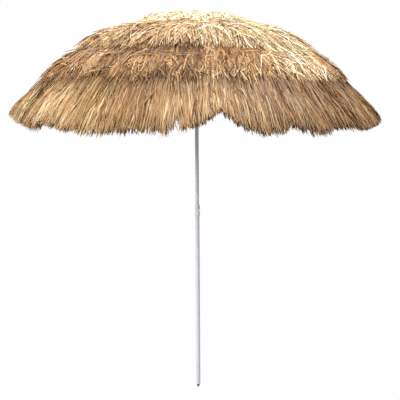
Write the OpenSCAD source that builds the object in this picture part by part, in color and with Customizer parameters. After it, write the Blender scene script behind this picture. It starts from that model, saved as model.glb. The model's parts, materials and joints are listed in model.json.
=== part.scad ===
// Beach umbrella: a raffia-thatched canopy on eight sprung steel ribs and a two-piece white steel pole.
//
// Lengths are in millimetres and angles in degrees. Z points up along the pole. The origin is on the pole's axis
// at the foot of the lower tube, where the ground spike begins. Arm 1 stands over +X and the others follow every
// 45 degrees anticlockwise, seen from above. The model is drawn open.

/* [Pole] */
// Outside diameter of the lower tube
lower_od = 22; // [21.5:0.5:23]
// Outside diameter of the upper tube
upper_od = 19; // [18:0.5:19]
// Wall thickness of both tubes
tube_wall = 1; // [0.8:0.1:1.1]
// Height of the joint collar's lower edge above the foot
collar_z = 875; // [750:1:900]
// Height of the joint collar
collar_h = 60; // [58:1:66]
// Length of the upper tube that stays inside the lower tube below the collar's lower edge
tube_overlap = 139; // [120:1:200]
// Length of the conical tip below the foot
spike_len = 16; // [10:1:24]

/* [Crown] */
// Height of the rib pivots
crown_z = 1860; // [1840:1:1880]
// Radius of the circle of rib pivots
hub_r = 22; // [22:0.5:24]
// Outside radius of the crown hub
hub_out_r = 28; // [27.5:0.5:30]
// Radius of the thatch tuft over the crown
tuft_r = 70; // [50:1:90]

/* [Ribs and stretchers] */
// Length of a rib along its arc
rib_len = 900; // [880:5:910]
// Radius to which an opened rib is sprung
rib_bend = 889; // [880:1:900]
// Slope of the rib at the crown (negative rises outwards)
rib_start = -4.3; // [-5:0.1:-3]
// Diameter of the rib rod
rib_d = 3.2; // [2.8:0.1:3.2]
// Share of the rib's length at which its stretcher is riveted on
stretcher_at = 0.38; // [0.36:0.01:0.4]
// Length of a stretcher between its pivots
stretcher_len = 375; // [370:1:385]
// Radius of the circle of stretcher pivots on the runner
runner_pivot_r = 24; // [24:0.5:26]
// Length of the runner's sleeve below its pivots
runner_sleeve = 52; // [45:1:60]

/* [Thatch] */
// Height of the lining's underside above the centre of a rib
lining_gap = 4.5; // [4:0.1:6]
// Thickness of the lining cloth with the stitched ends of the raffia
lining_t = 1.2; // [0.8:0.1:2]
// Thickness of a loose layer of raffia
layer_t = 3; // [2.5:0.1:4]
// Gap between neighbouring half gores
seam_gap = 0.5; // [0.4:0.1:1]

/* [Hidden] */
$fn = 48;
eps = 0.01;
arms = 8;
half = 180 / arms;

lower_r = lower_od / 2;
lower_in = lower_r - tube_wall;
upper_r = upper_od / 2;
upper_in = upper_r - tube_wall;
neck_r = lower_r - 0.2;             // swaged end of the lower tube, inside the collar
neck_len = 48;
collar_top = collar_z + collar_h;
screw_z = collar_z + 29;            // height of the clamping screw
tube_low = collar_z - tube_overlap; // lower end of the upper tube
tube_top = crown_z + 6;
bore_fit = 0.05;                    // radial clearance of every running fit

pin_r = 1.5;
rivet_r = 1.45;
rod_r = rib_d / 2;
lug_r = 3.4;
lug_t = 2.8;

// Arc of an opened rib. a is the slope of the rib below the horizontal.
rib_end = rib_start + rib_len / rib_bend * 180 / PI;
arc_cr = hub_r - rib_bend * sin(rib_start);
arc_cz = crown_z - rib_bend * cos(rib_start);
function on_rib(a, h = 0) = [arc_cr + (rib_bend + h) * sin(a), arc_cz + (rib_bend + h) * cos(a)];
function slope_at(r) = asin((r - arc_cr) / rib_bend);

knee_a = rib_start + stretcher_at * (rib_end - rib_start);
knee = on_rib(knee_a);
tip = on_rib(rib_end);
runner_z = knee[1] - sqrt(pow(stretcher_len, 2) - pow(knee[0] - runner_pivot_r, 2));
stretcher_slope = atan2(knee[1] - runner_z, knee[0] - runner_pivot_r);
catch_z = runner_z - runner_sleeve - 0.7;

// ---------------------------------------------------------------- helpers

module ring(r_out, r_in, z0, z1) {
    translate([0, 0, z0]) difference() {
        cylinder(r = r_out, h = z1 - z0);
        translate([0, 0, -1]) cylinder(r = r_in, h = z1 - z0 + 2);
    }
}

// A round bar centred on [x, z] that lies along local Y
module cross_bar(x, z, r, len) {
    translate([x, 0, z]) rotate([90, 0, 0]) cylinder(r = r, h = len, center = true);
}

module over_arm(i) {
    rotate([0, 0, (i - 1) * 360 / arms]) children();
}

module each_arm() {
    for (i = [1 : arms]) over_arm(i) children();
}

// ---------------------------------------------------------------- pole

// Lower tube, swaged down a little where the collar grips it
module lower_tube() {
    color("white") difference() {
        union() {
            cylinder(r = lower_r, h = collar_z);
            translate([0, 0, collar_z - eps]) cylinder(r = neck_r, h = neck_len + eps);
        }
        translate([0, 0, -1]) cylinder(r = lower_in, h = collar_z + neck_len + 2);
        // way through for the clamping screw
        translate([0, 0, screw_z]) rotate([90, 0, 0]) cylinder(r = 3.2, h = 20);
    }
}

// Plastic plug with a conical tip that closes the foot
module ground_spike() {
    color("dimgray") union() {
        translate([0, 0, -eps]) cylinder(r = lower_in, h = 35 + eps);
        translate([0, 0, -spike_len]) cylinder(r1 = 2, r2 = lower_r - 0.1, h = spike_len);
    }
}

// Moulded joint collar: two raised bands with a waist between them and a boss for the clamping screw
module clamp_collar() {
    z = collar_z;
    t = collar_top;
    band = lower_r + 2.4;
    color("white") difference() {
        union() {
            rotate_extrude() polygon([
                [neck_r - 0.6, z], [lower_r + 0.7, z], [lower_r + 2, z + 3], [band, z + 6], [band, z + 16],
                [lower_r + 0.8, z + 21], [lower_r + 0.8, z + 36], [band, z + 41], [band, t - 6],
                [lower_r + 1.6, t], [neck_r - 0.6, t]
            ]);
            translate([0, 0, screw_z]) rotate([90, 0, 0]) cylinder(r = 6.6, h = 20);
        }
        // seat of the lower tube, then the lip that guides the upper tube
        translate([0, 0, z - 1]) cylinder(r = neck_r, h = neck_len + 1);
        translate([0, 0, z]) cylinder(r = upper_r + 0.3, h = collar_h + 1);
        translate([0, 0, screw_z]) rotate([90, 0, 0]) cylinder(r = 2.7, h = 30);
        translate([-4, -17.4, screw_z - 4]) cube([8, 3.8, 8]);
    }
}

// Square nut moulded into the collar's boss
module clamp_nut() {
    color("goldenrod") difference() {
        translate([-4, -17.4, screw_z - 4]) cube([8, 3.8, 8]);
        translate([0, 0, screw_z]) rotate([90, 0, 0]) cylinder(r = 2.5, h = 30);
    }
}

// Clamping screw with a winged plastic head, its wings upright when it is tight
module thumbscrew() {
    color("white") translate([0, 0, screw_z]) union() {
        translate([0, -(upper_r + 0.2), 0]) rotate([90, 0, 0]) cylinder(r = 2.45, h = 18);
        translate([0, -21, 0]) rotate([90, 0, 0]) cylinder(r = 6.2, h = 8);
        translate([0, -28, 0]) rotate([90, 0, 0]) cylinder(r = 4.6, h = 8);
        for (s = [-1, 1]) translate([-3, -37, s * 10.5]) rotate([0, 90, 0]) cylinder(r = 6.8, h = 6);
        translate([-3, -42, -10.5]) cube([6, 13, 21]);
    }
}

// Bush in the lower end of the upper tube, which slides in the lower tube
module pole_bush() {
    color("lightgray") union() {
        translate([0, 0, tube_low - 10]) cylinder(r = lower_in - bore_fit, h = 10);
        translate([0, 0, tube_low - eps]) cylinder(r = upper_in - bore_fit, h = 24);
    }
}

// Upper tube, slotted for the catch that holds the runner up
module upper_tube() {
    color("white") difference() {
        ring(upper_r, upper_in, tube_low, tube_top);
        translate([-1.9, -20, catch_z - 27]) cube([3.8, 20, 28]);
    }
}

// ---------------------------------------------------------------- crown

// Notched hub that carries the ribs
module crown_hub() {
    z0 = crown_z - 7;
    z1 = crown_z + 10;
    color("white") difference() {
        translate([0, 0, z0]) cylinder(r = hub_out_r, h = z1 - z0);
        translate([0, 0, z0 - 1]) cylinder(r = upper_r, h = tube_top - z0 + 1);
        translate([0, 0, z0]) cylinder(r = 2.2, h = 40);
        each_arm() {
            translate([16.5, -1.9, z0 - 1]) cube([30, 3.8, z1 - z0 + 2]);
            cross_bar(hub_r, crown_z, pin_r, 13);
        }
    }
}

// Pivot pins of the ribs
module crown_pins() {
    color("silver") each_arm() cross_bar(hub_r, crown_z, pin_r, 13);
}

// Plug in the top of the upper tube that takes the cap's screw
module crown_plug() {
    color("lightgray") difference() {
        translate([0, 0, tube_top - 30]) cylinder(r = upper_in, h = 30);
        translate([0, 0, tube_top - 22]) cylinder(r = 1.9, h = 30);
    }
}

// Cap plate that covers the hub's slots
module crown_cap() {
    color("white") difference() {
        translate([0, 0, crown_z + 10]) cylinder(r = 32, h = 6);
        translate([0, 0, crown_z]) cylinder(r = 2.2, h = 30);
    }
}

module cap_screw() {
    color("silver") union() {
        translate([0, 0, tube_top - 22]) cylinder(r = 1.9, h = 32 + eps);
        translate([0, 0, crown_z + 16]) cylinder(r = 4, h = 2.6);
    }
}

// Tuft of raffia tied over the crown
module crown_tuft() {
    color("burlywood") difference() {
        union() {
            translate([0, 0, crown_z + 16]) cylinder(r = 33, h = 20);
            translate([0, 0, crown_z + 33.6]) cylinder(r1 = tuft_r, r2 = tuft_r - 14, h = 5.4);
        }
        translate([0, 0, crown_z + 15]) cylinder(r = 6, h = 6);
    }
}

// ---------------------------------------------------------------- ribs

// One rib: a rod sprung to an arc, flattened and drilled at its pivot, at the stretcher and at its tip,
// with the stretcher's rivet through it
module rib() {
    difference() {
        union() {
            translate([arc_cr, 0, arc_cz]) rotate([90, 0, 0]) rotate([0, 0, 90 - rib_end + 0.3])
                rotate_extrude(angle = rib_end - rib_start - 0.75, $fn = 96) translate([rib_bend, 0]) circle(r = rod_r, $fn = 32);
            flat_eye(rib_start, 1);
            flat_eye(rib_end, -1);
            cross_bar(knee[0], knee[1], lug_r, lug_t);
        }
        cross_bar(hub_r, crown_z, pin_r + bore_fit, 10);
        cross_bar(knee[0], knee[1], rivet_r + bore_fit, 10);
        cross_bar(tip[0], tip[1], 0.9, 10);
    }
    cross_bar(knee[0], knee[1], rivet_r, 5.4);
    for (s = [-1, 1]) translate([knee[0], s * 3.1, knee[1]]) rotate([90, 0, 0]) cylinder(r = 2.7, h = 0.8, center = true);
}

// A flattened rod end around the point of slope a, its tab pointing along the rib
module flat_eye(a, way) {
    p = on_rib(a);
    cross_bar(p[0], p[1], lug_r, lug_t);
    translate([p[0], 0, p[1]]) rotate([0, a, 0])
        translate([way > 0 ? 0 : -12, -lug_t / 2, -2.2]) cube([12, lug_t, 4.4]);
}

module rib_1() { color("gainsboro") over_arm(1) rib(); }
module rib_2() { color("gainsboro") over_arm(2) rib(); }
module rib_3() { color("gainsboro") over_arm(3) rib(); }
module rib_4() { color("gainsboro") over_arm(4) rib(); }
module rib_5() { color("gainsboro") over_arm(5) rib(); }
module rib_6() { color("gainsboro") over_arm(6) rib(); }
module rib_7() { color("gainsboro") over_arm(7) rib(); }
module rib_8() { color("gainsboro") over_arm(8) rib(); }

// ---------------------------------------------------------------- runner and stretchers

// Sliding runner with a slotted ring for the stretchers
module runner() {
    z = runner_z;
    color("white") difference() {
        rotate_extrude() polygon([
            [upper_r + 0.1, z - runner_sleeve], [upper_r + 4.3, z - runner_sleeve], [upper_r + 4.3, z - 16],
            [runner_pivot_r + 6, z - 8], [runner_pivot_r + 6, z + 4], [runner_pivot_r + 5, z + 5],
            [upper_r + 0.1, z + 5]
        ]);
        each_arm() {
            translate([17, -2.9, z - 4.2]) cube([30, 5.8, 20]);
            cross_bar(runner_pivot_r, z, pin_r, 15);
        }
    }
}

module runner_pins() {
    color("silver") each_arm() cross_bar(runner_pivot_r, runner_z, pin_r, 15);
}

// Sprung catch inside the upper tube, its tooth standing out under the runner
module catch_spring() {
    color("silver") translate([-1.5, 0, 0]) rotate([90, 0, 90]) linear_extrude(3) polygon([
        [-7.4, catch_z - 56], [-6.2, catch_z - 56], [-6.2, catch_z + 14], [-7.4, catch_z + 14],
        [-7.4, catch_z], [-13.2, catch_z], [-13.2, catch_z - 2], [-7.4, catch_z - 25]
    ]);
}

// Pressed channel, open upwards, whose end straddles the rib
module stretcher() {
    len = stretcher_len;
    color("gainsboro") translate([runner_pivot_r, 0, runner_z]) rotate([0, -stretcher_slope, 0]) difference() {
        union() {
            translate([0, -2.5, -3]) cube([len, 5, 6]);
            cross_bar(0, 0, 3, 5);
            cross_bar(len, 0, 3, 5);
        }
        translate([-5, -1.7, -2.2]) cube([len + 10, 3.4, 10]);
        translate([len - 28, -1.7, -5]) cube([40, 3.4, 10]);
        cross_bar(0, 0, pin_r + bore_fit, 10);
        cross_bar(len, 0, rivet_r + bore_fit, 10);
    }
}

module stretcher_1() { over_arm(1) stretcher(); }
module stretcher_2() { over_arm(2) stretcher(); }
module stretcher_3() { over_arm(3) stretcher(); }
module stretcher_4() { over_arm(4) stretcher(); }
module stretcher_5() { over_arm(5) stretcher(); }
module stretcher_6() { over_arm(6) stretcher(); }
module stretcher_7() { over_arm(7) stretcher(); }
module stretcher_8() { over_arm(8) stretcher(); }

// ---------------------------------------------------------------- thatch

// Everything of the canopy is built in half gores. A section is drawn where it meets the rib, as [radius, height],
// and runs level from there to the middle of the gore, so that the gore is flat between two ribs.

// Section of one tier: a lining strip that follows the rib from slope a1 to a2, and a layer of raffia that is
// sewn to its upper end and stands off it to a free edge
function tier(a1, a2, outer, n = 5) =
    let (
        am = (a1 + a2) / 2,
        off = [layer_t * sin(am), layer_t * cos(am)],
        wall = layer_t / rib_bend * 180 / PI,
        last = len(outer) - 1,
        under = [for (i = [0 : n]) on_rib(a1 + (a2 - a1) * i / n, lining_gap)],
        over = [for (i = [n : -1 : 0]) on_rib(i == 0 ? a1 + wall : a1 + (a2 - a1) * i / n, lining_gap + lining_t)],
        inside = [for (i = [0 : last]) i == 0 ? outer[0] - off + [layer_t * cos(am), -layer_t * sin(am)] : outer[i] - off]
    )
    concat(under, over, inside, [for (i = [last : -1 : 0]) outer[i]]);

// A half gore of a section, on the side s of the rib
module half_gore(section, s) {
    mirror([0, s < 0 ? 1 : 0, 0]) rotate([0, 0, half]) intersection() {
        rotate([90, 0, 0]) linear_extrude(450) polygon([for (p = section) [p[0] * cos(half), p[1]]]);
        translate([0, 0, 1000]) linear_extrude(1000) polygon([
            [seam_gap, -seam_gap], [1200, -seam_gap], [1200, -1200 * tan(half) + seam_gap],
            [2.5 * seam_gap, -2.5 * seam_gap * tan(half) - eps]
        ]);
    }
}

module both_halves(section) {
    for (s = [-1, 1]) half_gore(section, s);
}

tuft_edge = 262;      // radius of the free edge of the crown tier
tier2_edge = 586;     // and of the tiers below it
tier3_edge = 765;

// Crown tier and the head of the second tier, on the part of the rib above the stretcher's rivet
module thatch_inner() {
    a0 = slope_at(37);
    a1 = slope_at(tuft_edge - 14);
    a2 = slope_at(tuft_edge - 12);
    color("burlywood") {
        both_halves(tier(a0, a1, [[37, crown_z + 32], [200, crown_z + 33], [238, crown_z + 22], [tuft_edge, crown_z + 1]]));
        both_halves(tier(a2, knee_a - 0.08, [on_rib(a2, 10), [318, crown_z - 14.5], on_rib(knee_a - 0.15, 15)], n = 2));
    }
}

// Second and third tiers and the head of the hem, from the rivet to the rib's tip
module thatch_outer() {
    a2 = slope_at(tier2_edge - 14);
    a3 = slope_at(tier2_edge - 12);
    a4 = slope_at(tier3_edge - 15);
    a5 = slope_at(tier3_edge - 13);
    color("tan") {
        both_halves(tier(knee_a + 0.08, a2, [on_rib(knee_a + 0.08, 15), [444, crown_z - 45], [520, crown_z - 76], [tier2_edge, crown_z - 126]]));
        both_halves(tier(a3, a4, [on_rib(a3, 10), [673, crown_z - 184], [tier3_edge, crown_z - 271]]));
        both_halves(tier(a5, rib_end - 0.1, [on_rib(a5, 10), on_rib(rib_end - 0.1, 22)], n = 2));
    }
}

// Loose hem: it leaves the rib's tip along the rib and hangs steeper between the ribs
module hem_fringe() {
    n = [sin(rib_end), cos(rib_end)];
    t = [cos(rib_end), -sin(rib_end)];
    top_in = tip + 14 * n + 2 * t;
    top_out = tip + 20 * n + 2 * t;
    c = cos(half);
    at_rib = [top_in, top_out, [954, crown_z - 498], [949, crown_z - 503]];
    mid_gore = [[top_in[0] * c, top_in[1]], [top_out[0] * c, top_out[1]], [886, crown_z - 557], [880, crown_z - 562]];
    color("burlywood") for (s = [0, 1]) mirror([0, s, 0]) hull() {
        translate([0, seam_gap / 2, 0]) rotate([90, 0, 0]) translate([0, 0, -0.4]) linear_extrude(0.4) polygon(at_rib);
        rotate([0, 0, half]) translate([0, -seam_gap, 0]) rotate([90, 0, 0]) linear_extrude(0.4) polygon(mid_gore);
    }
}

module thatch_inner_1() { over_arm(1) thatch_inner(); }
module thatch_inner_2() { over_arm(2) thatch_inner(); }
module thatch_inner_3() { over_arm(3) thatch_inner(); }
module thatch_inner_4() { over_arm(4) thatch_inner(); }
module thatch_inner_5() { over_arm(5) thatch_inner(); }
module thatch_inner_6() { over_arm(6) thatch_inner(); }
module thatch_inner_7() { over_arm(7) thatch_inner(); }
module thatch_inner_8() { over_arm(8) thatch_inner(); }

module thatch_outer_1() { over_arm(1) thatch_outer(); }
module thatch_outer_2() { over_arm(2) thatch_outer(); }
module thatch_outer_3() { over_arm(3) thatch_outer(); }
module thatch_outer_4() { over_arm(4) thatch_outer(); }
module thatch_outer_5() { over_arm(5) thatch_outer(); }
module thatch_outer_6() { over_arm(6) thatch_outer(); }
module thatch_outer_7() { over_arm(7) thatch_outer(); }
module thatch_outer_8() { over_arm(8) thatch_outer(); }

module hem_fringe_1() { over_arm(1) hem_fringe(); }
module hem_fringe_2() { over_arm(2) hem_fringe(); }
module hem_fringe_3() { over_arm(3) hem_fringe(); }
module hem_fringe_4() { over_arm(4) hem_fringe(); }
module hem_fringe_5() { over_arm(5) hem_fringe(); }
module hem_fringe_6() { over_arm(6) hem_fringe(); }
module hem_fringe_7() { over_arm(7) hem_fringe(); }
module hem_fringe_8() { over_arm(8) hem_fringe(); }

// ---------------------------------------------------------------- drawing

lower_tube();
ground_spike();
clamp_collar();
clamp_nut();
thumbscrew();
pole_bush();
upper_tube();
crown_hub();
crown_pins();
crown_plug();
crown_cap();
cap_screw();
crown_tuft();
runner();
runner_pins();
catch_spring();
rib_1();
rib_2();
rib_3();
rib_4();
rib_5();
rib_6();
rib_7();
rib_8();
stretcher_1();
stretcher_2();
stretcher_3();
stretcher_4();
stretcher_5();
stretcher_6();
stretcher_7();
stretcher_8();
thatch_inner_1();
thatch_inner_2();
thatch_inner_3();
thatch_inner_4();
thatch_inner_5();
thatch_inner_6();
thatch_inner_7();
thatch_inner_8();
thatch_outer_1();
thatch_outer_2();
thatch_outer_3();
thatch_outer_4();
thatch_outer_5();
thatch_outer_6();
thatch_outer_7();
thatch_outer_8();
hem_fringe_1();
hem_fringe_2();
hem_fringe_3();
hem_fringe_4();
hem_fringe_5();
hem_fringe_6();
hem_fringe_7();
hem_fringe_8();
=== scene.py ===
import json
import math

import bpy
import numpy as np
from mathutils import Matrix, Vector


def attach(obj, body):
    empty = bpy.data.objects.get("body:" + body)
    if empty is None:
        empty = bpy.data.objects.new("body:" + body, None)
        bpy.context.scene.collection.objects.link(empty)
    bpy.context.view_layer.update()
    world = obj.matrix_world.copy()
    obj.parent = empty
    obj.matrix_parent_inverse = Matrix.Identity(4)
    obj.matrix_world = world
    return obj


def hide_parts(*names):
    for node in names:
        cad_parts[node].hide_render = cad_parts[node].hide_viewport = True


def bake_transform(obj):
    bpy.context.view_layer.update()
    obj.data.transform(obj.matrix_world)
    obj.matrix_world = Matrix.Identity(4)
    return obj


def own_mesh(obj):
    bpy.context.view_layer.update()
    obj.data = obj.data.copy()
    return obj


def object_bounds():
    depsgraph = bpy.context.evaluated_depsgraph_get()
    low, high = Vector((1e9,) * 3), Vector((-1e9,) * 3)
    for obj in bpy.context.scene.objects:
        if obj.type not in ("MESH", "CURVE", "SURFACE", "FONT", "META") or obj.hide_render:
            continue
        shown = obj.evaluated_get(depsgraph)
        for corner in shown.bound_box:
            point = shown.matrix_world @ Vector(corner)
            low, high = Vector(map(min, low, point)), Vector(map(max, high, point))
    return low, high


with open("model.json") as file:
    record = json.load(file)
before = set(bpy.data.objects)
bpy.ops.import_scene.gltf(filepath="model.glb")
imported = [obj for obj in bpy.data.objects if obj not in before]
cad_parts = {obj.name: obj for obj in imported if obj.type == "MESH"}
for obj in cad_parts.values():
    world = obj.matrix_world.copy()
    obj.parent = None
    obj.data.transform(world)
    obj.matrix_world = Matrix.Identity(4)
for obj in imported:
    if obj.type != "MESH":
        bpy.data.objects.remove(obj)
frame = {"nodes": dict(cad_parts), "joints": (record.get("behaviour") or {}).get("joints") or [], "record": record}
LO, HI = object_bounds()
CAD_BOX = [list(LO), list(HI)]
NODES = frame["nodes"]
JOINTS = {j["name"]: j for j in frame["joints"]}

# ------------------------------------------------------------------ the frame's own geometry
HALF = math.radians(22.5)
SIN2, SC = math.sin(HALF) ** 2, math.sin(HALF) * math.cos(HALF)
CROWN = np.array(JOINTS["rib_fold_1"]["pos_m"])[[0, 2]]
KNEE = np.array(JOINTS["rib_flex_1"]["pos_m"])[[0, 2]]
TIP = np.array(JOINTS["hem_hang_1"]["pos_m"])[[0, 2]]


def arc_through(a, b, c):
    """Centre and radius of the circle through three points."""
    m = 2 * np.array([b - a, c - a])
    k = np.array([b @ b - a @ a, c @ c - a @ a])
    centre = np.linalg.solve(m, k)
    return centre, float(np.linalg.norm(a - centre))


ARC_C, ARC_R = arc_through(CROWN, KNEE, TIP)


def slope(p):
    return math.atan2(p[0] - ARC_C[0], p[1] - ARC_C[1])


A_CROWN, A_KNEE, A_TIP = slope(CROWN), slope(KNEE), slope(TIP)


def on_rib(a, h=0.0):
    a = np.asarray(a, float)
    return np.stack([ARC_C[0] + (ARC_R + h) * np.sin(a), ARC_C[1] + (ARC_R + h) * np.cos(a)], -1)


def slope_at(r):
    return np.arcsin((np.asarray(r, float) - ARC_C[0]) / ARC_R)


def azimuth(i):
    return math.radians(45.0 * (i - 1))


def to_row(i, p):
    """From an arm's own outward, sideways and up to the row frame."""
    c, s = math.cos(azimuth(i)), math.sin(azimuth(i))
    p = np.asarray(p, float)
    return np.stack([p[..., 0] * c - p[..., 1] * s, p[..., 0] * s + p[..., 1] * c, p[..., 2]], -1)


# ------------------------------------------------------------------ meshes
def make_mesh(name, verts, faces, uv=None, smooth=True, colour=None):
    """faces is an (n, 3) or (n, 4) array of vertex numbers, uv one pair for each corner."""
    verts, faces = np.asarray(verts, np.float32), np.asarray(faces, np.int32)
    me = bpy.data.meshes.new(name)
    n, k = faces.shape
    me.vertices.add(len(verts))
    me.vertices.foreach_set("co", verts.ravel())
    me.loops.add(n * k)
    me.loops.foreach_set("vertex_index", faces.ravel())
    me.polygons.add(n)
    me.polygons.foreach_set("loop_start", np.arange(0, n * k, k, dtype=np.int32))
    if uv is not None:
        layer = me.uv_layers.new(name="OFBake")
        layer.data.foreach_set("uv", np.asarray(uv, np.float32).reshape(-1))
        layer.active_render = True
    me.update(calc_edges=True)
    me.polygons.foreach_set("use_smooth", np.full(n, smooth))
    me.validate()
    ob = bpy.data.objects.new(name, me)
    bpy.context.scene.collection.objects.link(ob)
    return ob


def use(ob, material):
    ob.data.materials.clear()
    ob.data.materials.append(material)
    return ob


# ------------------------------------------------------------------ materials
def new_material(name):
    m = bpy.data.materials.new(name)
    m.use_nodes = True
    t = m.node_tree
    bsdf = t.nodes["Principled BSDF"]
    return m, t, bsdf


def node(t, kind, **values):
    n = t.nodes.new(kind)
    for k, v in values.items():
        if k in n.inputs:
            n.inputs[k].default_value = v
        else:
            setattr(n, k, v)
    return n


def ramp(t, stops, factor):
    n = t.nodes.new("ShaderNodeValToRGB")
    e = n.color_ramp.elements
    while len(e) < len(stops):
        e.new(0.5)
    for el, (pos, col) in zip(e, stops):
        el.position = pos
        el.color = (*col, 1)
    t.links.new(factor, n.inputs[0])
    return n.outputs[0]


def math_node(t, op, a, b=None, clamp=False):
    n = t.nodes.new("ShaderNodeMath")
    n.operation = op
    n.use_clamp = clamp
    for k, v in enumerate((a, b)):
        if v is None:
            continue
        if isinstance(v, (int, float)):
            n.inputs[k].default_value = v
        else:
            t.links.new(v, n.inputs[k])
    return n.outputs[0]


def mix(t, kind, fac, a, b):
    n = t.nodes.new("ShaderNodeMix")
    n.data_type = "RGBA"
    n.blend_type = kind
    for s, v in ((n.inputs[0], fac), (n.inputs[6], a), (n.inputs[7], b)):
        if isinstance(v, (int, float)):
            s.default_value = v
        elif isinstance(v, tuple):
            s.default_value = (*v, 1)
        else:
            t.links.new(v, s)
    return n.outputs[2]


def srgb(*c):
    return tuple(((x / 255 + 0.055) / 1.055) ** 2.4 if x > 10 else x / 255 / 12.92 for x in c)


COLUMNS = 256


def raffia_material():
    """Dry raffia. Across the map lie 256 kinds of strand from dark to pale, and up it the way from root to tip."""
    m, t, bsdf = new_material("raffia")
    uv = node(t, "ShaderNodeUVMap", uv_map="OFBake")
    sep = t.nodes.new("ShaderNodeSeparateXYZ")
    t.links.new(uv.outputs[0], sep.inputs[0])
    u, v = sep.outputs[0], sep.outputs[1]
    column = math_node(t, "DIVIDE", math_node(t, "FLOOR", math_node(t, "MULTIPLY", u, float(COLUMNS))), float(COLUMNS))
    base = ramp(t, [
        (0.00, srgb(72, 49, 31)), (0.16, srgb(114, 80, 52)), (0.36, srgb(160, 120, 81)), (0.56, srgb(195, 160, 117)),
        (0.74, srgb(222, 203, 168)), (0.88, srgb(238, 228, 205)), (1.00, srgb(250, 247, 240))], column)
    white = node(t, "ShaderNodeTexWhiteNoise", noise_dimensions="1D")
    t.links.new(math_node(t, "MULTIPLY", column, 977.0), white.inputs["W"])
    # each kind of strand leans to green, to orange or to grey
    tint = ramp(t, [(0.0, (1.05, 0.97, 0.84)), (0.35, (1.0, 1.0, 1.0)), (0.6, (0.99, 1.0, 0.90)), (0.8, (1.03, 0.97, 0.98)), (1.0, (1.08, 0.99, 0.96))],
                white.outputs["Value"])
    colour = mix(t, "MULTIPLY", 1.0, base, tint)
    # every second kind is golden, the others are redder
    second = math_node(t, "MODULO", math_node(t, "FLOOR", math_node(t, "MULTIPLY", u, float(COLUMNS))), 2.0)
    hue = ramp(t, [(0.0, (1.05, 0.965, 0.85)), (1.0, (0.975, 1.035, 1.055))], second)
    colour = mix(t, "MULTIPLY", 1.0, colour, hue)
    # long fibres along the strand
    stretch = t.nodes.new("ShaderNodeCombineXYZ")
    t.links.new(math_node(t, "MULTIPLY", u, 900.0), stretch.inputs[0])
    t.links.new(math_node(t, "MULTIPLY", v, 5.0), stretch.inputs[1])
    fibre = node(t, "ShaderNodeTexNoise", Scale=1.0, Detail=3.0, Roughness=0.6)
    t.links.new(stretch.outputs[0], fibre.inputs["Vector"])
    streak = ramp(t, [(0.3, (0.78, 0.76, 0.72)), (0.55, (1.0, 1.0, 1.0)), (0.75, (1.08, 1.07, 1.04))], fibre.outputs[0])
    colour = mix(t, "MULTIPLY", 1.0, colour, streak)
    # painted shade: just under the tier above the raffia is darkened at its roots, and further out it grows paler
    # towards the tip
    ends = ramp(t, [(0.0, (0.40, 0.35, 0.31)), (0.15, (0.44, 0.38, 0.33)), (0.20, (0.62, 0.57, 0.50)), (0.30, (0.80, 0.76, 0.70)),
                    (0.50, (0.93, 0.92, 0.90)), (0.75, (0.98, 0.98, 0.97)), (1.0, (1.02, 1.01, 0.98))], v)
    colour = mix(t, "MULTIPLY", 1.0, colour, ends)
    t.links.new(colour, bsdf.inputs["Base Color"])
    rough = node(t, "ShaderNodeMapRange")
    rough.inputs["To Min"].default_value, rough.inputs["To Max"].default_value = 0.36, 0.62
    t.links.new(fibre.outputs[0], rough.inputs["Value"])
    t.links.new(rough.outputs[0], bsdf.inputs["Roughness"])
    bsdf.inputs["Specular IOR Level"].default_value = 0.4
    return m


def cloth_material():
    """Coarse canvas that the raffia is sewn to, in a mid brown that doubles as painted shade in the gaps between the
    strands.
    """
    m, t, bsdf = new_material("lining_canvas")
    uv = node(t, "ShaderNodeUVMap", uv_map="OFBake")
    sep = t.nodes.new("ShaderNodeSeparateXYZ")
    t.links.new(uv.outputs[0], sep.inputs[0])
    waves = []
    for out, count in ((sep.outputs[0], 420.0), (sep.outputs[1], 420.0)):
        s = math_node(t, "SINE", math_node(t, "MULTIPLY", out, count * 2 * math.pi))
        waves.append(math_node(t, "MULTIPLY", math_node(t, "ADD", s, 1.0), 0.5))
    weave = math_node(t, "MULTIPLY", waves[0], waves[1])
    cloud = node(t, "ShaderNodeTexNoise", Scale=9.0, Detail=4.0, Roughness=0.55)
    t.links.new(uv.outputs[0], cloud.inputs["Vector"])
    base = ramp(t, [(0.3, srgb(150, 122, 84)), (0.7, srgb(188, 160, 118))], cloud.outputs[0])
    threads = ramp(t, [(0.0, (0.84, 0.83, 0.81)), (1.0, (1.08, 1.08, 1.07))], weave)
    colour = mix(t, "MULTIPLY", 1.0, base, threads)
    # the flat seam over the rib and the rows of stitching that hold the raffia
    seam = math_node(t, "ABSOLUTE", math_node(t, "SUBTRACT", sep.outputs[0], 0.5))
    line = ramp(t, [(0.0, (0.80, 0.78, 0.74)), (0.018, (0.80, 0.78, 0.74)), (0.024, (0.62, 0.58, 0.52)), (0.030, (1.0, 1.0, 1.0))], seam)
    colour = mix(t, "MULTIPLY", 1.0, colour, line)
    t.links.new(colour, bsdf.inputs["Base Color"])
    bump = node(t, "ShaderNodeBump", Strength=0.35, Distance=0.0006)
    t.links.new(weave, bump.inputs["Height"])
    t.links.new(bump.outputs[0], bsdf.inputs["Normal"])
    bsdf.inputs["Roughness"].default_value = 0.88
    bsdf.inputs["Sheen Weight"].default_value = 0.25
    return m


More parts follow.
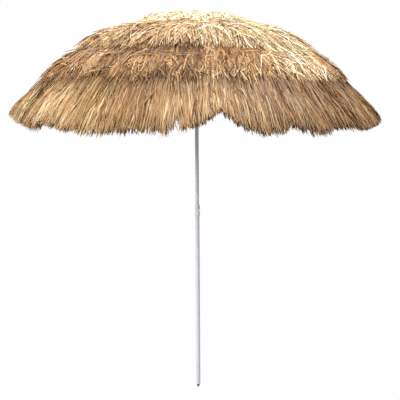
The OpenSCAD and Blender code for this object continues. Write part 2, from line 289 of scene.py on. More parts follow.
def coat_material(name, colour, rough, orange_peel=0.12, scale=900.0, dirt=0.5, coat=0.0):
    """Painted or moulded white surface: orange peel, faint dust and uneven gloss."""
    m, t, bsdf = new_material(name)
    pos = t.nodes.new("ShaderNodeTexCoord")
    big = node(t, "ShaderNodeTexNoise", Scale=14.0, Detail=5.0, Roughness=0.6)
    fine = node(t, "ShaderNodeTexNoise", Scale=scale, Detail=2.0, Roughness=0.5)
    scuff = node(t, "ShaderNodeTexNoise", Scale=60.0, Detail=6.0, Roughness=0.75)
    for n in (big, fine, scuff):
        t.links.new(pos.outputs["Object"], n.inputs["Vector"])
    dark = tuple(c * (1 - 0.16 * dirt) for c in colour)
    base = ramp(t, [(0.35, dark), (0.65, colour)], big.outputs[0])
    marks = ramp(t, [(0.28, (1 - 0.22 * dirt,) * 3), (0.38, (1.0, 1.0, 1.0))], scuff.outputs[0])
    t.links.new(mix(t, "MULTIPLY", 1.0, base, marks), bsdf.inputs["Base Color"])
    r = node(t, "ShaderNodeMapRange")
    r.inputs["To Min"].default_value, r.inputs["To Max"].default_value = rough - 0.07, rough + 0.12
    t.links.new(scuff.outputs[0], r.inputs["Value"])
    t.links.new(r.outputs[0], bsdf.inputs["Roughness"])
    bump = node(t, "ShaderNodeBump", Strength=orange_peel, Distance=0.0003)
    t.links.new(fine.outputs[0], bump.inputs["Height"])
    t.links.new(bump.outputs[0], bsdf.inputs["Normal"])
    bsdf.inputs["Coat Weight"].default_value = coat
    bsdf.inputs["Coat Roughness"].default_value = 0.15
    return m


def metal_material(name, colour, rough, scale=(40.0, 40.0, 4.0)):
    """Zinc-plated or bright metal, drawn lengthwise, with duller patches."""
    m, t, bsdf = new_material(name)
    pos = t.nodes.new("ShaderNodeTexCoord")
    mp = t.nodes.new("ShaderNodeMapping")
    mp.inputs["Scale"].default_value = scale
    t.links.new(pos.outputs["Object"], mp.inputs["Vector"])
    drawn = node(t, "ShaderNodeTexNoise", Scale=30.0, Detail=4.0, Roughness=0.7)
    patch = node(t, "ShaderNodeTexNoise", Scale=35.0, Detail=5.0, Roughness=0.65)
    t.links.new(mp.outputs[0], drawn.inputs["Vector"])
    t.links.new(pos.outputs["Object"], patch.inputs["Vector"])
    base = ramp(t, [(0.3, tuple(c * 0.72 for c in colour)), (0.6, colour)], patch.outputs[0])
    lines = ramp(t, [(0.3, (0.88, 0.88, 0.88)), (0.7, (1.05, 1.05, 1.05))], drawn.outputs[0])
    t.links.new(mix(t, "MULTIPLY", 1.0, base, lines), bsdf.inputs["Base Color"])
    r = node(t, "ShaderNodeMapRange")
    r.inputs["To Min"].default_value, r.inputs["To Max"].default_value = rough - 0.1, rough + 0.2
    t.links.new(patch.outputs[0], r.inputs["Value"])
    t.links.new(r.outputs[0], bsdf.inputs["Roughness"])
    bsdf.inputs["Metallic"].default_value = 1.0
    return m


RAFFIA = raffia_material()
CANVAS = cloth_material()
COAT = coat_material("white_powder_coat", srgb(226, 231, 238), 0.34, coat=0.25)
PLASTIC = coat_material("white_moulded_plastic", srgb(232, 234, 236), 0.42, orange_peel=0.08, scale=1400.0, dirt=0.7)
GREY = coat_material("grey_plastic", srgb(170, 172, 174), 0.5, orange_peel=0.2)
DARK = coat_material("dark_plastic", srgb(88, 90, 94), 0.5, orange_peel=0.25)
ZINC = metal_material("zinc_steel", srgb(196, 199, 203), 0.34)
BRASS = metal_material("brass", srgb(214, 178, 98), 0.3)

SLOT_MATERIAL = {"powder_coated_steel": COAT, "white_plastic": PLASTIC, "grey_plastic": GREY, "dark_plastic": DARK,
                 "zinc_steel": ZINC, "brass": BRASS}
for part in frame["record"]["subparts"]:
    m = SLOT_MATERIAL.get(part["material_slot"])
    if m:
        ob = NODES[part["node"]]
        if not ob.material_slots:
            ob.data.materials.append(m)
        for s in ob.material_slots:
            s.material = m

# ------------------------------------------------------------------ tiers of the thatch
# Each is a pair of lines in the plane of a rib, as [radius, height]: under is what it is sewn to, over is its
# outer skin. Strands run between the two. Between ribs the gore lies level from one rib to the next.


def line(points, n=60):
    """Evenly spaced points along a line that is smooth through the given ones."""
    p = np.asarray(points, float)
    d = np.concatenate([[0], np.cumsum(np.linalg.norm(np.diff(p, axis=0), axis=1))])
    fine = np.linspace(0, d[-1], 400)
    q = np.stack([np.interp(fine, d, p[:, k]) for k in (0, 1)], -1)
    w = np.hanning(61)
    w /= w.sum()
    pad = 30
    first, last = q[1] - q[0], q[-1] - q[-2]
    ext = np.concatenate([q[0] - first * np.arange(pad, 0, -1)[:, None], q, q[-1] + last * np.arange(1, pad + 1)[:, None]])
    q = np.stack([np.convolve(ext[:, k], w, "valid") for k in (0, 1)], -1)
    d = np.concatenate([[0], np.cumsum(np.linalg.norm(np.diff(q, axis=0), axis=1))])
    return np.stack([np.interp(np.linspace(0, d[-1], n), d, q[:, k]) for k in (0, 1)], -1)


def rib_line(r0, r1, h):
    return on_rib(np.linspace(slope_at(r0), slope_at(r1), 60), h)


CZ = CROWN[1]
TIERS = {
    "crown": dict(under=rib_line(0.030, 0.285, 0.008),
                  over=line([(0.018, CZ + 0.034), (0.10, CZ + 0.037), (0.19, CZ + 0.034), (0.235, CZ + 0.024), (0.268, CZ + 0.004), (0.285, CZ - 0.012)])),
    "upper": dict(under=rib_line(0.245, 0.592, 0.008),
                  over=line([(0.245, CZ + 0.000), (0.318, CZ - 0.010), (0.36, CZ - 0.021), (0.444, CZ - 0.042), (0.52, CZ - 0.074), (0.575, CZ - 0.116), (0.60, CZ - 0.140)])),
    "lower": dict(under=rib_line(0.52, 0.768, 0.008),
                  over=line([(0.525, CZ - 0.104), (0.60, CZ - 0.142), (0.673, CZ - 0.184), (0.735, CZ - 0.240), (0.766, CZ - 0.276), (0.778, CZ - 0.292)])),
    "hem": dict(under=line([(0.700, CZ - 0.231), (0.78, CZ - 0.315), (0.815, CZ - 0.364), (0.868, CZ - 0.445), (0.912, CZ - 0.520)]),
                over=line([(0.708, CZ - 0.214), (0.79, CZ - 0.302), (0.830, CZ - 0.348), (0.903, CZ - 0.427), (0.954, CZ - 0.498)])),
}
# Where the hem ends all round, as azimuth in degrees and height in millimetres: it is highest at the ribs' tips
HEM_ENDS = np.array([
    (0, 1352), (7, 1336), (15, 1320), (22, 1314), (31, 1322), (39, 1334), (45, 1372), (50, 1338), (57, 1322), (66, 1358), (72, 1386),
    (84, 1388), (90, 1392), (95, 1350), (104, 1320), (113, 1310), (122, 1324), (130, 1342), (135, 1370), (140, 1342), (149, 1322),
    (158, 1314), (167, 1326), (174, 1344), (180, 1368), (185, 1334), (194, 1316), (203, 1320), (208, 1345), (216, 1342), (223, 1323),
    (231, 1310), (238, 1310), (247, 1314), (254, 1318), (259, 1330), (264, 1348), (267.5, 1370), (270, 1404), (272.5, 1370),
    (276, 1344), (282, 1318), (288, 1316), (293, 1333), (297, 1312), (305, 1317), (312, 1333), (320, 1331), (335, 1330), (352, 1334),
    (360, 1352)], float)


# How pale the raffia of each tier is at 0, 45, 90 ... degrees round: partly uneven bleaching, partly painted light. The
# crown is painted palest as the lit top, the upper and lower tiers are painted paler at 315 degrees on the lit side,
# and the hem is painted darkest there as painted shade.
TONES = {
    "crown": (0.78, 0.77, 0.76, 0.75, 0.75, 0.76, 0.78, 0.82),
    "upper": (0.58, 0.56, 0.54, 0.52, 0.48, 0.42, 0.44, 0.74),
    "lower": (0.34, 0.40, 0.44, 0.38, 0.34, 0.25, 0.24, 0.61),
    "hem": (0.30, 0.34, 0.40, 0.46, 0.52, 0.44, 0.40, 0.21),
}


# and small patches of it that are paler or darker: tier, azimuth, half width, change
PATCHES = [("lower", 327, 17, -0.20), ("upper", 337, 17, -0.22), ("lower", 298, 12, 0.06), ("hem", 3, 16, 0.07), ("hem", 296, 16, -0.03)]


def tone_of(tier, degrees):
    a = np.asarray(degrees) % 360
    tone = np.interp(a, np.arange(9) * 45.0, TONES[tier] + TONES[tier][:1])
    for name, at, half, change in PATCHES:
        if name == tier:
            tone = tone + change * np.exp(-(((a - at + 180) % 360 - 180) / half) ** 2)
    return tone


# How many of a tier's strands are golden, at 0, 45, 90 ... degrees round
GOLD = {
    "crown": (0.8, 0.8, 0.8, 0.8, 0.8, 0.8, 0.9, 0.9),
    "upper": (0.7, 0.6, 0.5, 0.4, 0.4, 0.5, 0.95, 0.85),
    "lower": (0.8, 0.6, 0.4, 0.3, 0.3, 0.2, 0.2, 0.5),
    "hem": (1.0, 0.8, 0.7, 0.7, 0.85, 0.6, 0.75, 0.85),
}


def hem_end(degrees):
    return np.interp(np.asarray(degrees) % 360, HEM_ENDS[:, 0], HEM_ENDS[:, 1]) / 1000


def on_tier(tier, tau, lam, chord, arm=1):
    """Points in an arm's own frame. tau runs down the tier, lam from its underside to its skin, chord from one
    middle of a gore at -1 over the rib at 0 to the other at 1."""
    t = TIERS[tier]
    tau = np.asarray(tau, float)
    x = np.linspace(0, 1, 60)
    inside = np.clip(tau, 0, 1)
    past = tau - inside
    p = []
    for k in (0, 1):
        a, b = t["under"][:, k], t["over"][:, k]
        u = np.interp(inside, x, a) + past * (a[-1] - a[-6]) / (x[-1] - x[-6])
        o = np.interp(inside, x, b) + past * (RUN_ON[tier][k] if tier in RUN_ON else (b[-1] - b[-6]) / (x[-1] - x[-6]))
        p.append(u * (1 - lam) + o * lam)
    r, z = p
    c = np.abs(chord)
    around = 45.0 * (arm - 1) + np.degrees(np.arctan2(chord * SC, 1 - c * SIN2))
    askew = np.cos(np.radians(around))  # the thatch sits a little lower and fuller towards +X
    free = np.clip((r - 0.78) / 0.05, 0, 1) if tier == "hem" else 0.0
    z = z - 0.010 * askew * r / 0.9 * (free + (1 - free) * np.clip(lam, 0, 1))
    if tier == "hem":
        r = r * (1 + 0.011 * askew * np.clip(tau, 0, 1.2) ** 2)
        drop = t["over"][-1, 1] - (hem_end(around) + 0.029)
        z = z - drop * (np.clip(tau - 0.22, 0, 1.1) / 0.78) ** 1.4
    # between the ribs the lining hangs a little hollow
    z = z - 0.006 * np.sin(np.pi * np.clip(c, 0, 1)) * np.clip(r / 0.5, 0, 1)
    return np.stack([r * (1 - c * SIN2), chord * r * SC, z], -1)


# Past a tier's edge its strands lie on the next tier, along this way for one length of the tier
RUN_ON = {"crown": (0.272, -0.062), "upper": (0.338, -0.178)}
RINGS = 7
EDGE_ABOVE = {"crown": 0.0, "upper": 0.12, "lower": 0.28, "hem": 0.28}  # where the tier above ends
TAPER = np.array([0.75, 1.0, 1.0, 1.0, 0.96, 0.84, 0.34])


def wobble(rng, n, knots, k):
    """n smooth random lines of k values from -1 to 1."""
    y = rng.uniform(-1, 1, (n, knots))
    x = np.linspace(0, knots - 1, k)
    i = np.minimum(x.astype(int), knots - 2)
    f = x - i
    f = f * f * (3 - 2 * f)
    return y[:, i] * (1 - f) + y[:, i + 1] * f


def smooth_noise(rng, x, spacing, low, high):
    """Random values along x that change over about spacing."""
    n = max(4, int((high - low) / spacing) + 3)
    y = rng.uniform(-1, 1, n)
    g = np.clip((x - low) / (high - low), 0, 1) * (n - 2)
    i = np.minimum(g.astype(int), n - 2)
    f = g - i
    f = f * f * (3 - 2 * f)
    return y[i] * (1 - f) + y[i + 1] * f


def ribbons(name, centre, width, roll, key, down, fold=0.28):
    """centre is (n, RINGS, 3) and width (n,). key (n,) is each strand's place from dark to pale, and down (n, RINGS)
    is how far down its tier each ring of it lies, from 0 to 1; the material draws low values as painted shade at the
    root."""
    n, k, _ = centre.shape
    tangent = np.gradient(centre, axis=1)
    tangent /= np.linalg.norm(tangent, axis=-1, keepdims=True) + 1e-12
    up = np.zeros_like(centre)
    up[..., 2] = 1.0
    out = centre.copy()
    out[..., 2] = 0
    out /= np.linalg.norm(out, axis=-1, keepdims=True) + 1e-9
    ref = up * 0.8 + out * 0.6
    side = np.cross(tangent, ref)
    side /= np.linalg.norm(side, axis=-1, keepdims=True) + 1e-12
    normal = np.cross(side, tangent)
    roll = roll if roll.ndim == 2 else roll[:, None]
    cr, sr = np.cos(roll)[..., None], np.sin(roll)[..., None]
    side, normal = side * cr + normal * sr, normal * cr - side * sr
    w = (width[:, None] * TAPER[None, :])[..., None]
    verts = np.stack([centre - side * w / 2 - normal * w * fold * 0.5, centre + normal * w * fold * 0.5,
                      centre + side * w / 2 - normal * w * fold * 0.5], 2)
    verts = verts.reshape(-1, 3)
    base = (np.arange(n) * k * 3)[:, None, None] + (np.arange(k - 1) * 3)[None, :, None] + np.arange(2)[None, None, :]
    faces = np.stack([base, base + 1, base + 4, base + 3], -1).reshape(-1, 4)
    column = np.clip((key * COLUMNS).astype(int), 0, COLUMNS - 1)
    u = (column[:, None, None] + np.array([0.08, 0.5, 0.92])[None, None, :]) / COLUMNS
    u = np.broadcast_to(u, (n, k, 3)).reshape(-1)
    v = np.broadcast_to((0.01 + 0.98 * np.clip(down, 0, 1))[:, :, None], (n, k, 3)).reshape(-1)
    uv = np.stack([u, v], -1)[faces.reshape(-1)]
    return make_mesh(name, verts, faces, uv=uv)


def thatch(tier, arm, seed, count, side=0, roots=(0.0, 0.35), ends=(0.8, 1.05), width=(0.004, 0.009), skin=0.75,
           tone=0.0, spread=0.15, clump=0.030, clump_pull=0.45, skew=0.012, stray=0.08, lift=0.010, rough_len=0.05,
           wave=0.006, deep_shade=0.30, top=0.97, ragged=0.03, gather=1.6):
    """Centre lines and looks of a tier's strands on one arm, or on one side of it. skew and wave are in metres."""
    rng = np.random.default_rng(seed)
    c0 = rng.uniform(-1.0, 1.0, count) if side == 0 else side * rng.uniform(0.0, 1.0, count)
    lam = 1 - rng.beta(1.0, 2.2, count)
    lam = np.where(rng.random(count) < 1 - skin, rng.uniform(0, 1, count), lam)
    t0 = rng.uniform(*roots, count)
    reach = rng.uniform(ends[0], ends[1], count)
    short = rng.random(count) < 0.22
    reach = np.where(short, rng.uniform(0.45, ends[0], count), reach)
    # lengths vary in low waves that run on round the umbrella, across the seams between the arms
    around = np.degrees(azimuth(arm)) + 22.5 * c0
    waves = round_noise(tier, around, 7.0) * 0.6 + round_noise(tier + "b", around, 2.6) * 0.6
    step = clump / (float(TIERS[tier]["over"][-1, 0]) * SC)
    cell = np.floor(c0 / step + rng.uniform(-0.2, 0.2, count))
    locks = rng.uniform(-1, 1, 4096)[(cell.astype(int) * 7 + seed) % 4096]
    reach = reach * (1 + rough_len * waves + ragged * locks - 0.10 * (locks < -0.90))
    if tier in RUN_ON:
        # long strands hide the edge, most of all round 318 degrees, on the side painted paler
        hide = np.exp(-((around % 360 - 318) / 32) ** 2) if tier == "upper" else 0.8
        reach = reach * (1 + (0.04 + 0.26 * hide) * rng.beta(1.0, 1.5, count) * (rng.random(count) < 0.12 + 0.6 * hide))
    k = np.linspace(0, 1, RINGS)[None, :]
    tau = t0[:, None] + (reach - t0)[:, None] * k
    per_chord = float(TIERS[tier]["over"][-1, 0]) * SC  # metres sideways for one unit of chord, at the tier's edge
    wild = rng.random(count) < stray
    drift = rng.normal(0, 1, count) * np.where(wild, 3.0, 1.0) * skew + skew * 1.2 * round_noise(tier + "d", around, 4.0)
    # tips gather into locks
    goal = (cell + 0.5 + 0.3 * np.sin(cell * 12.9898 + seed)) * step
    pull = np.where(wild, 0.0, clump_pull * rng.uniform(0.3, 1.0, count))
    c = c0[:, None] + ((goal - c0) * pull)[:, None] * k ** gather + (drift / per_chord)[:, None] * k ** 1.3
    bend = np.where(wild, 2.2, 1.0)[:, None] * wobble(rng, count, 4, RINGS)
    c = c + bend * (wave / per_chord) * np.clip(k * 2, 0, 1)
    rise = np.where(wild, rng.uniform(0.3, 1.6, count), rng.uniform(-0.4, 0.4, count))[:, None]
    lam_k = top * lam[:, None] * (0.25 + 0.75 * np.clip(k * 1.6, 0, 1)) + wobble(rng, count, 4, RINGS) * 0.10
    lam_k = np.clip(lam_k, np.where(tau > 0.5, -0.1, 0.03) if tier == "hem" else 0.03, 1.08)
    p = on_tier(tier, tau, lam_k, c, arm)
    # tips spring away from the surface
    span = np.gradient(p, axis=1)
    span /= np.linalg.norm(span, axis=-1, keepdims=True) + 1e-12
    sideways = np.zeros_like(p)
    sideways[..., 1] = 1.0
    off = np.cross(sideways, span)
    off[..., 1] = 0
    off /= np.linalg.norm(off, axis=-1, keepdims=True) + 1e-9
    off = np.where(off[..., 2:3] < 0, -off, off)
    rise = np.where(rise < 0, rise * np.clip(lam_k, 0, 1), rise)  # none of them sinks through the lining
    p = p + off * (lift * rise * k ** 2.2)[..., None]
    w = rng.uniform(*width, count)
    roll = rng.normal(0, 0.5, count)[:, None] + np.cumsum(rng.normal(0, 0.14, (count, RINGS)), 1)
    # strands lying deep in the thatch, near the lining, are made darker: painted shade under the strands above them
    key = tone + tone_of(tier, around) + spread * rng.normal(0, 1, count) + deep_shade * (lam - 0.65)
    key = key + 0.06 * round_noise(tier + "c", around, 2.2) + 0.05 * round_noise(tier + "e", around, 8.0)
    if tier != "hem":
        # paler streaks over the ribs, strongest over the front rib of arm 7: painted highlight along the ridges; and a
        # few bleached patches
        key = key + (0.24 if arm == 7 else 0.09) * np.exp(-(c0 / 0.11) ** 2)
        key = key + 0.40 * np.clip(round_noise(tier + "f", around, 6.0) - 0.55, 0, 0.3)
    key = np.where(rng.random(count) < 0.06, key + 0.20, key)
    key = np.where(rng.random(count) < 0.08, key - 0.25, key)
    # down picks the painted shade of each ring: rings under the tier above get low values and are drawn dark, past its
    # edge they lighten
    edge = EDGE_ABOVE[tier]
    down = np.where(tau < edge, 0.15 * tau / max(edge, 1e-6), 0.15 + 0.85 * (tau - edge) / (1.06 - edge))
    if tier == "crown":
        down = 0.42 + 0.58 * tau
    # on the hem the painted shade reaches further down round 236 degrees and is kept lighter round 312 degrees
    if tier == "hem":
        down = 0.15 + 0.85 * np.clip(down / 0.85 - 0.15 / 0.85, 0, 2) ** (1 + 0.7 * np.exp(-((around % 360 - 236) / 42) ** 2))[:, None]
        down = np.maximum(down, (0.42 * np.exp(-((around % 360 - 312) / 24) ** 2))[:, None])
    # less painted shade under the edge above: everywhere on the upper tier, round 318 degrees on the lower
    if tier in ("upper", "lower"):
        down = np.maximum(down, ((0.34 if tier == "upper" else 0.36 * np.exp(-((around % 360 - 318) / 34) ** 2)) + 0 * around)[:, None])
    golden = rng.random(count) < np.interp(around % 360, np.arange(9) * 45.0, GOLD[tier] + GOLD[tier][:1])
    key = (2 * np.floor(np.clip(key, 0.01, 0.99) * COLUMNS / 2) + golden + 0.5) / COLUMNS
    return to_row(arm, p), w, roll, key, down


def curls(tier, arm, seed, count, tone=0.30):
    """Loose curled strands that lie across a tier, made paler than the rest: painted highlights on the curls."""
    c, w, roll, key, down = thatch(tier, arm, seed, count, roots=(0.25, 0.75), ends=(0.55, 1.02), width=(0.0035, 0.0065), skin=1.0,
                                   tone=tone, spread=0.10, clump_pull=0.0, skew=0.030, stray=0.5, lift=0.013, wave=0.016, deep_shade=0.0, top=1.0)
    return c, w, roll, key, np.maximum(down, 0.6)


def joined(*sets):
    return [np.concatenate(x) for x in zip(*sets)]


_rounds = {}


def round_noise(name, degrees, spacing):
    """Random values from -1 to 1 round the umbrella, the same for every arm."""
    if name not in _rounds:
        n = int(360 / spacing)
        _rounds[name] = np.random.default_rng(sum(map(ord, name)) * 7919 + 11).uniform(-1, 1, n)
    y = _rounds[name]
    g = (np.asarray(degrees) % 360) / 360 * len(y)
    i = g.astype(int) % len(y)
    f = g - np.floor(g)
    f = f * f * (3 - 2 * f)
    return y[i] * (1 - f) + y[(i + 1) % len(y)] * f


def t_axis(i):
    a = azimuth(i)
    return (-math.sin(a), math.cos(a), 0.0)


DENSE = 1.0


# ------------------------------------------------------------------ lining, ribs and thatch of each arm
def cloth_grid(name, arm, a0, a1, h, rows, cols=24):
    """One arm's share of the lining, from slope a0 to a1 on the rib, hollowed a little between the ribs."""
    a = np.linspace(a0, a1, rows + 1)
    c = np.linspace(-1, 1, cols + 1)
    rz = on_rib(a, h)
    r, z = rz[:, 0][:, None], rz[:, 1][:, None]
    cc = np.abs(c)[None, :]
    sag = 0.006 * np.sin(np.pi * cc) * np.clip(r / 0.5, 0, 1)
    p = np.stack([r * (1 - cc * SIN2), c[None, :] * r * SC, z - sag], -1)
    n = cols + 1
    q = (np.arange(rows) * n)[:, None] + np.arange(cols)[None, :]
    faces = np.stack([q, q + 1, q + n + 1, q + n], -1).reshape(-1, 4)
    u = np.broadcast_to(0.5 + 0.499 * c[None, :] * r / 0.83, p.shape[:2])
    v = np.broadcast_to(((a - A_CROWN) / (A_TIP - A_CROWN))[:, None] * 0.99 + 0.005, p.shape[:2])
    uv = np.stack([u, v], -1).reshape(-1, 2)[faces.reshape(-1)]
    ob = make_mesh(name, to_row(arm, p).reshape(-1, 3), faces, uv=uv)
    area = sum(f.area for f in ob.data.polygons)
    return use(ob, CANVAS), area


def rod_mesh(name, arm):
    """The whole rib: a round rod that is flattened into an eye at the crown, at the rivet and at the tip."""
    a = np.unique(np.concatenate([np.linspace(A_CROWN, A_TIP, 90), A_KNEE + np.linspace(-0.012, 0.012, 9),
                                  A_CROWN + np.linspace(-0.004, 0.014, 9), A_TIP + np.linspace(-0.014, 0.004, 9)]))
    rod = 0.0016
    k = np.zeros_like(a)
    for centre, reach in ((A_CROWN, 0.0125), (A_KNEE, 0.0055), (A_TIP, 0.0125)):
        k = np.maximum(k, np.clip(1.35 - np.abs(a - centre) / reach, 0, 1))
    k = k * k * (3 - 2 * k)
    high = rod + (0.0034 - rod) * k
    wide = rod + (0.0013 - rod) * k
    ends = np.clip(np.minimum((a - a[0]) / 0.003, (a[-1] - a) / 0.003), 0, 1)
    round_off = np.sqrt(1 - (1 - ends) ** 2) * 0.98 + 0.02
    m = 14
    th = np.arange(m) / m * 2 * np.pi
    p = on_rib(a)
    nrm = np.stack([np.sin(a), np.cos(a)], -1)
    x = np.cos(th)[None, :] * (wide * round_off)[:, None]
    y = np.sin(th)[None, :] * (high * round_off)[:, None]
    v = np.stack([p[:, 0:1] + nrm[:, 0:1] * y, x, p[:, 1:2] + nrm[:, 1:2] * y], -1)
    rows = len(a)
    q = (np.arange(rows - 1) * m)[:, None] + np.arange(m)[None, :]
    q2 = (np.arange(rows - 1) * m)[:, None] + (np.arange(m)[None, :] + 1) % m
    faces = np.stack([q, q + m, q2 + m, q2], -1).reshape(-1, 4)
    verts = np.concatenate([v.reshape(-1, 3), v[0].mean(0)[None], v[-1].mean(0)[None]])
    e0, e1 = rows * m, rows * m + 1
    i = np.arange(m)
    j = (i + 1) % m
    caps = np.concatenate([np.stack([np.full(m, e0), i, j, j], -1), np.stack([np.full(m, e1), (rows - 1) * m + j, (rows - 1) * m + i, (rows - 1) * m + i], -1)])
    tris = caps[:, :3]
    me = bpy.data.meshes.new(name)
    me.from_pydata(to_row(arm, verts).tolist(), [], faces.tolist() + tris.tolist())
    me.polygons.foreach_set("use_smooth", np.full(len(me.polygons), True))
    me.update()
    ob = bpy.data.objects.new(name, me)
    bpy.context.scene.collection.objects.link(ob)
    return use(ob, ZINC)


def lathe(name, profile, axis_at, axis_dir, side_dir, seg=28):
    """A closed turned piece: profile is (radius, along) from one end to the other."""
    prof = np.asarray(profile, float)
    d = np.asarray(axis_dir, float)
    s = np.asarray(side_dir, float)
    w = np.cross(d, s)
    th = np.arange(seg) / seg * 2 * np.pi
    ring = np.cos(th)[:, None] * s + np.sin(th)[:, None] * w
    v = np.asarray(axis_at)[None, None] + prof[:, 1][:, None, None] * d + prof[:, 0][:, None, None] * ring[None]
    n = len(prof)
    faces = [[i * seg + j, i * seg + (j + 1) % seg, (i + 1) * seg + (j + 1) % seg, (i + 1) * seg + j]
             for i in range(n - 1) for j in range(seg)]
    faces += [list(range(seg))[::-1], [(n - 1) * seg + j for j in range(seg)]]
    me = bpy.data.meshes.new(name)
    me.from_pydata(v.reshape(-1, 3).tolist(), [], faces)
    me.polygons.foreach_set("use_smooth", np.full(len(me.polygons), True))
    me.update()
    ob = bpy.data.objects.new(name, me)
    bpy.context.scene.collection.objects.link(ob)
    return ob


for i in range(1, 9):
    arm, outer, hem = f"arm_{i}", f"arm_{i}_outer", f"hem_{i}"
    seed = 1000 * i

    inner_cloth, inner_area = cloth_grid(f"lining_inner_{i}", i, float(slope_at(0.034)), A_KNEE + 0.002, 0.0036, 24)
    outer_cloth, outer_area = cloth_grid(f"lining_outer_{i}", i, A_KNEE - 0.012, A_TIP + 0.004, 0.0042, 40)

    pieces = {}
    pieces["crown"] = ribbons(f"thatch_crown_{i}", *joined(
        thatch("crown", i, seed + 1, int(1050 * DENSE), roots=(0.0, 0.62), ends=(0.76, 1.04), width=(0.0035, 0.0085), skin=0.9, spread=0.09,
               clump=0.026, skew=0.020, stray=0.25, lift=0.012, rough_len=0.08, wave=0.012, top=0.9),
        curls("crown", i, seed + 11, int(90 * DENSE), tone=0.18)))
    pieces["upper"] = ribbons(f"thatch_upper_{i}", *joined(
        thatch("upper", i, seed + 2, int(1850 * DENSE), roots=(0.0, 0.45), ends=(0.80, 1.03), width=(0.0035, 0.0085), skin=0.85, spread=0.13,
               clump=0.030, skew=0.014, stray=0.16, lift=0.014, rough_len=0.06, wave=0.010, top=0.92),
        curls("upper", i, seed + 12, int(110 * DENSE))))
    pieces["lower"] = ribbons(f"thatch_lower_{i}", *joined(
        thatch("lower", i, seed + 3, int(2100 * DENSE), roots=(0.0, 0.45), ends=(0.80, 1.03), width=(0.0035, 0.0085), skin=0.85, spread=0.13,
               clump=0.032, skew=0.014, stray=0.12, lift=0.013, rough_len=0.05, wave=0.010, top=0.92),
        curls("lower", i, seed + 13, int(130 * DENSE))))
    for s, word in ((1, "left"), (-1, "right")):
        c, w, roll, key, down = thatch(
            "hem", i, seed + 5 + s, int(1500 * DENSE), side=s, roots=(0.0, 0.34), ends=(0.93, 1.01), width=(0.0032, 0.0075), skin=0.7,
            spread=0.10, clump=0.026, clump_pull=0.75, skew=0.010, stray=0.05, lift=0.007, rough_len=0.02, wave=0.008, deep_shade=0.22,
            ragged=0.035, gather=2.2)
        pieces["hem_" + word] = ribbons(f"thatch_hem_{i}_{word}", c, w, roll, np.minimum(key, 0.86), down)

    for ob in pieces.values():
        use(ob, RAFFIA)
    t = t_axis(i)
    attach(inner_cloth, arm)
    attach(pieces["crown"], arm)
    for ob in (outer_cloth, pieces["upper"], pieces["lower"]):
        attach(ob, outer)
    for ob in (pieces["hem_left"], pieces["hem_right"]):
        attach(ob, hem)
    for ob, keep in ((inner_cloth, 0.20), (outer_cloth, 0.13), (pieces["crown"], 0.42), (pieces["upper"], 0.17), (pieces["lower"], 0.14),
                     (pieces["hem_left"], 0.15), (pieces["hem_right"], 0.15)):
        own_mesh(ob)
    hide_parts(f"thatch_inner_{i}")
    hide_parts(f"thatch_inner_{i}")
    for ob in (pieces["upper"], pieces["lower"], outer_cloth):
        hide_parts(f"thatch_outer_{i}")
    for ob in (pieces["hem_left"], pieces["hem_right"]):
        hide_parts(f"hem_fringe_{i}")

    rod = rod_mesh(f"rib_rod_{i}", i)
    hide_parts(f"rib_{i}")
    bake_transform(rod)
    rivet = lathe(f"rib_rivet_{i}", [(0.0004, -0.0042), (0.0016, -0.0040), (0.0025, -0.0034), (0.0027, -0.0028), (0.00145, -0.0027),
                                     (0.00145, 0.0027), (0.0027, 0.0028), (0.0025, 0.0034), (0.0016, 0.0040), (0.0004, 0.0042)],
                  to_row(i, np.array([KNEE[0], 0, KNEE[1]])), np.array(t), np.array([0, 0, 1.0]))
    use(rivet, ZINC)
    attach(rivet, arm)


# ------------------------------------------------------------------ tuft over the crown
def crown_tuft(seed=77, count=int(900 * DENSE)):
    rng = np.random.default_rng(seed)
    az = rng.uniform(0, 2 * np.pi, count)
    r0 = rng.uniform(0.0, 0.05, count)
    r1 = np.maximum(rng.uniform(0.045, 0.084, count), r0 + 0.015)
    k = np.linspace(0, 1, RINGS)[None, :]
    r = r0[:, None] + (r1 - r0)[:, None] * k
    turn = rng.normal(0, 0.5, count)[:, None] * k
    a = az[:, None] + turn
    z = CZ + 0.037 + rng.uniform(-0.006, 0.005, count)[:, None] - 0.022 * (r / 0.075) ** 2.2 + wobble(rng, count, 4, RINGS) * 0.0025
    p = np.stack([r * np.cos(a), r * np.sin(a), z], -1)
    # the tuft is drawn pale like the crown: painted light on the top
    key = np.clip(0.80 + 0.09 * rng.normal(0, 1, count), 0.02, 0.99)
    return ribbons("thatch_tuft", p, rng.uniform(0.0045, 0.009, count), rng.normal(0, 0.6, count), key, 0.6 + 0 * r)


tuft = use(crown_tuft(), RAFFIA)
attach(tuft, "upper_pole")
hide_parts("crown_tuft")

# ------------------------------------------------------------------ floor, light and camera
FLOOR_Z = CAD_BOX[0][2]
bpy.ops.mesh.primitive_plane_add(size=160, location=(0, 0, FLOOR_Z - 0.0005))
floor = bpy.context.object
floor.name = "floor"
fm = bpy.data.materials.new("white_floor")
fm.use_nodes = True
ft = fm.node_tree
ft.nodes.clear()
GROUND_LIGHT, SKY_LIGHT = 0.46, 0.56


def seen_white(t, given):
    """1 for what the camera sees, given for the light that falls on things."""
    path = t.nodes.new("ShaderNodeLightPath")
    return math_node(t, "ADD", given, math_node(t, "MULTIPLY", path.outputs["Is Camera Ray"], 1.0 - given))


glow = ft.nodes.new("ShaderNodeEmission")
ft.links.new(seen_white(ft, GROUND_LIGHT), glow.inputs[1])
out = ft.nodes.new("ShaderNodeOutputMaterial")
ft.links.new(glow.outputs[0], out.inputs[0])
use(floor, fm)

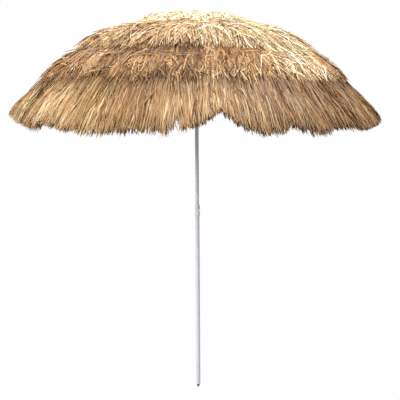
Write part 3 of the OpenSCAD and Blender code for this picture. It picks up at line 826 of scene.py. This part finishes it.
world = bpy.data.worlds.new("studio")
bpy.context.scene.world = world
world.use_nodes = True
wt = world.node_tree
wt.nodes["Background"].inputs[0].default_value = (1, 1, 1, 1)
wt.links.new(seen_white(wt, SKY_LIGHT), wt.nodes["Background"].inputs[1])
bpy.context.scene.view_settings.view_transform = "Standard"


def area_light(name, at, look, size, power, colour=(1, 1, 1)):
    d = bpy.data.lights.new(name, "AREA")
    d.shape, d.size, d.energy, d.color = "DISK", size, power, colour
    o = bpy.data.objects.new(name, d)
    o.location = at
    from mathutils import Vector
    o.rotation_euler = (Vector(look) - Vector(at)).to_track_quat("-Z", "Y").to_euler()
    bpy.context.scene.collection.objects.link(o)
    return o


area_light("key", (1.6, -1.2, 6.2), (0, 0, 1.6), 1.2, 330, (1.0, 0.98, 0.94))
area_light("fill", (-4.2, -4.6, 3.9), (0, 0, 0.9), 3.2, 230, (0.97, 0.985, 1.0))
area_light("side", (-6.0, -1.4, 2.5), (0, 0, 0.7), 1.3, 150, (0.97, 0.985, 1.0))
area_light("rim", (-1.5, 3.0, 5.0), (0, 0, 1.6), 2.0, 60)

CAM_AZ, CAM_D, CAM_H, PX_M = math.radians(-6.5), 5.0, 1.5, 197.2
SHIFT, HORIZON = -0.03, 93.4
cam_data = bpy.data.cameras.new("camera")
cam = bpy.data.objects.new("camera", cam_data)
bpy.context.scene.collection.objects.link(cam)
cam_data.sensor_width = 36.0
f_px = PX_M * CAM_D
cam_data.lens = f_px * 36.0 / 400.0
pitch = math.atan((200.0 - HORIZON + SHIFT * 400.0) / f_px)
cam_data.shift_y = SHIFT
cam_data.shift_x = 0.0072
from mathutils import Euler, Matrix
cam.location = (math.sin(CAM_AZ) * CAM_D, -math.cos(CAM_AZ) * CAM_D, CAM_H)
cam.rotation_euler = (Matrix.Rotation(CAM_AZ, 4, "Z") @ Matrix.Rotation(math.pi / 2 - pitch, 4, "X")
                      @ Matrix.Rotation(math.radians(-0.35), 4, "Z")).to_euler()
bpy.context.scene.camera = cam
